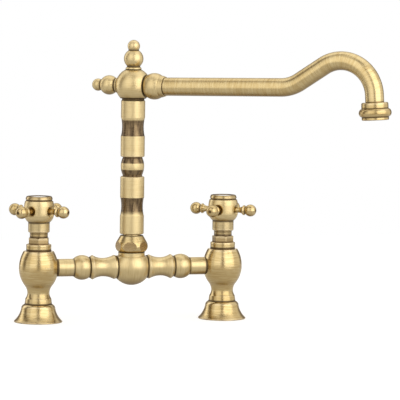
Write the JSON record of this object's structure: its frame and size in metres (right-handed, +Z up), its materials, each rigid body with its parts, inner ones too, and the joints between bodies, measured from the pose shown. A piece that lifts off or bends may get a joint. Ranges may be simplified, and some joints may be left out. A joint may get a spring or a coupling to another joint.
{
  "type": "bridge kitchen faucet",
  "caption": "Deck-standing bridge kitchen faucet: pillar valves with cross handles, a turned column with ball finials and a long swivelling spout.",
  "frame": {"origin": "on the deck plane, midway between the centres of the two inlets", "axes": "+X from the left (hot) pillar to the right (cold) pillar, +Z up along the column, -Y toward the user"},
  "size_m": [0.319, 0.2035, 0.2666],
  "materials": {
    "antique_brass": "brushed antique gold, lacquered",
    "patina_brass": "brushed brass with dark brown patina in its hollows",
    "plain_brass": "as machined, inside the faucet",
    "valve_ceramic": "lapped alumina, matte",
    "porcelain": "glossy white glaze, bare",
    "black_rubber": "matte black",
    "slip_plastic": "white low-friction plastic",
    "screw_steel": "plain steel",
    "screen_plastic": "pale moulded plastic"
  },
  "bodies": {
    "faucet_body": {"left_inlet_socket": "plain_brass", "left_base_bell": "antique_brass", "left_base_gasket": "black_rubber", "left_pillar_body": "antique_brass", "left_seat_washer": "black_rubber", "left_cartridge_bonnet": "antique_brass", "left_fixed_disc": "valve_ceramic", "left_bridge_arm": "antique_brass", "left_bridge_sleeve": "antique_brass", "left_bridge_o_ring": "black_rubber", "right_inlet_socket": "plain_brass", "right_base_bell": "antique_brass", "right_base_gasket": "black_rubber", "right_pillar_body": "antique_brass", "right_seat_washer": "black_rubber", "right_cartridge_bonnet": "antique_brass", "right_fixed_disc": "valve_ceramic", "right_bridge_arm": "antique_brass", "right_bridge_sleeve": "antique_brass", "right_bridge_o_ring": "black_rubber", "tee_body": "antique_brass", "lower_slip_ring": "slip_plastic", "upper_slip_ring": "slip_plastic", "swivel_nut": "antique_brass"},
    "left_handle": {"left_moving_disc": "valve_ceramic", "left_spindle": "plain_brass", "left_spindle_o_rings": "black_rubber", "left_spindle_clip": "screw_steel", "left_handle_hub": "antique_brass", "left_handle_arms": "antique_brass", "left_index_ring": "antique_brass", "left_index_disc": "porcelain", "left_handle_screw": "screw_steel"},
    "right_handle": {"right_moving_disc": "valve_ceramic", "right_spindle": "plain_brass", "right_spindle_o_rings": "black_rubber", "right_spindle_clip": "screw_steel", "right_handle_hub": "antique_brass", "right_handle_arms": "antique_brass", "right_index_ring": "antique_brass", "right_index_disc": "porcelain", "right_handle_screw": "screw_steel"},
    "spout": {"column_stem": "plain_brass", "stem_o_rings": "black_rubber", "column_lower": "patina_brass", "column_bead": "patina_brass", "column_upper": "patina_brass", "head_ball": "antique_brass", "top_finial": "antique_brass", "side_finial": "antique_brass", "spout_collar": "antique_brass", "spout_tube": "antique_brass", "nozzle_body": "antique_brass", "aerator_housing": "antique_brass", "aerator_seal": "black_rubber", "aerator_screen": "screen_plastic"}
  },
  "joints": [
    {"name": "left_handle_turn", "type": "hinge", "parent": "faucet_body", "child": "left_handle", "pos_m": [-0.09, 0, 0.1051], "axis": [0, 0, 1], "range_deg": [0, 90]},
    {"name": "right_handle_turn", "type": "hinge", "parent": "faucet_body", "child": "right_handle", "pos_m": [0.09, 0, 0.1051], "axis": [0, 0, 1], "range_deg": [-90, 0]},
    {"name": "spout_swivel", "type": "hinge", "parent": "faucet_body", "child": "spout", "pos_m": [0, 0, 0.0739], "axis": [0, 0, 1], "continuous": true}
  ]
}
